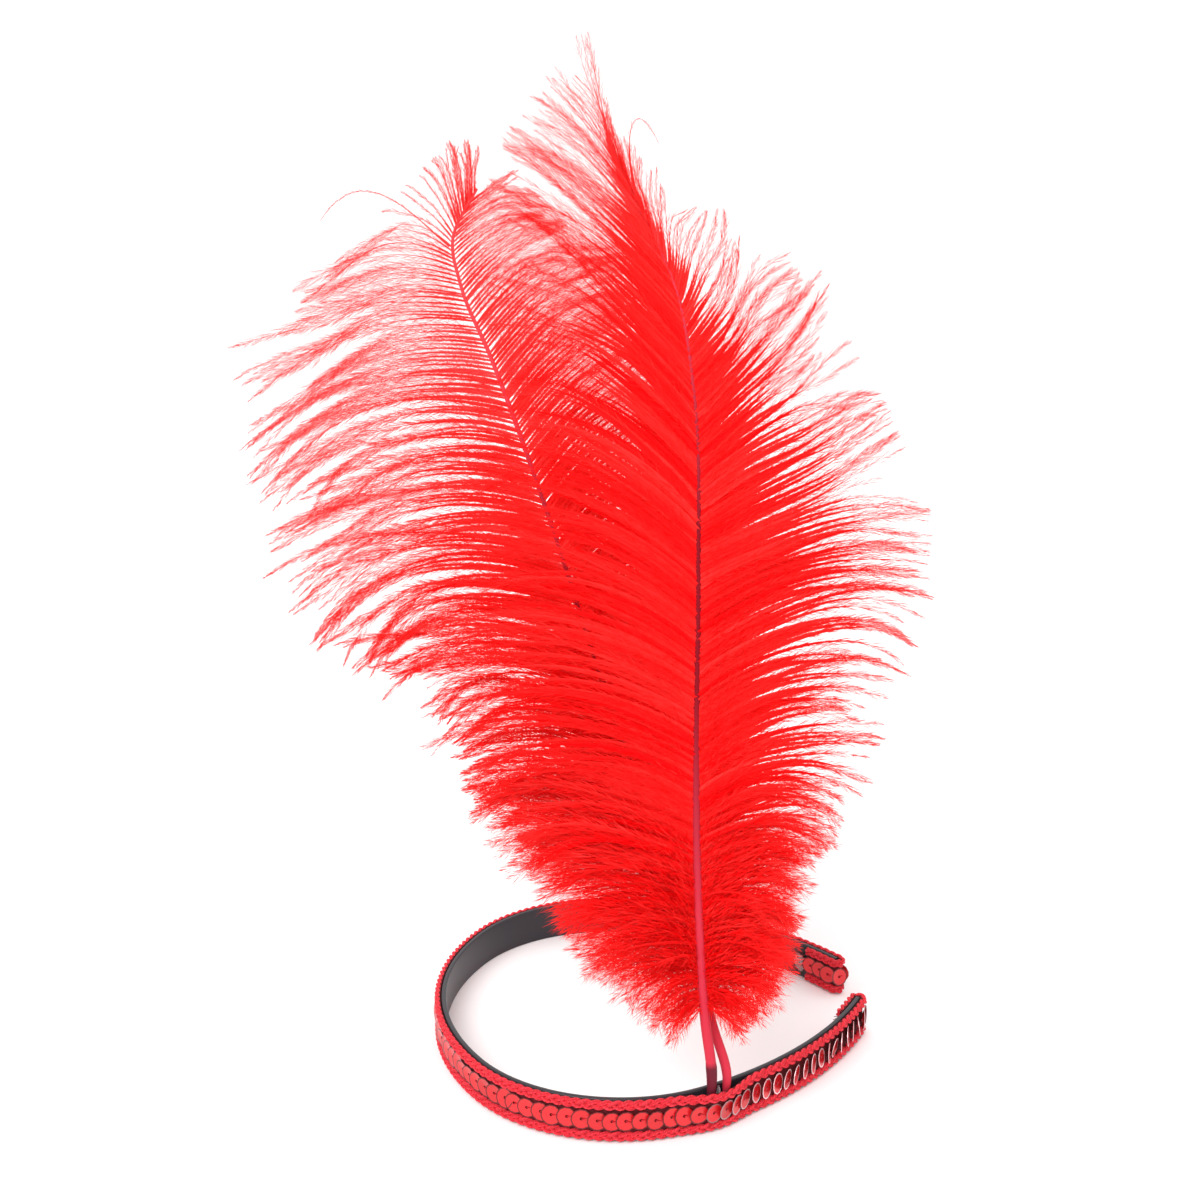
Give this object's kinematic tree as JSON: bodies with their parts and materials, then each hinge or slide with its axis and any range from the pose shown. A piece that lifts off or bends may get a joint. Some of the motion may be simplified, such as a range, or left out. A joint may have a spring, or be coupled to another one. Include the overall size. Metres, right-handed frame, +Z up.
{
  "type": "feather headband",
  "caption": "Plastic C-shaped hairband covered with sequin braid, with ostrich plumes tucked behind the braid at one side, resting on its edge.",
  "frame": {"origin": "middle of the bottom of the part's box, on the surface that it rests on", "axes": "+Z up along the plumes, +X from the band's crown to its open ends, +Y from the plumes' side to the back"},
  "size_m": [0.1694, 0.1316, 0.2735],
  "materials": {
    "band_plastic": "satin black",
    "braid": "twisted rayon braid",
    "sequin": "metallic red foil",
    "quill": "dyed quill",
    "plume": "dyed ostrich barbs",
    "glue": "dried clear glue"
  },
  "bodies": {
    "root": {"band": "band_plastic", "trim": "braid", "sequins": "sequin", "quill_front": "quill", "quill_rear": "quill", "vane_front_left": "plume", "vane_front_right": "plume", "vane_rear_left": "plume", "vane_rear_right": "plume", "glue_pocket": "glue", "glue_tip": "glue"}
  },
  "joints": []
}
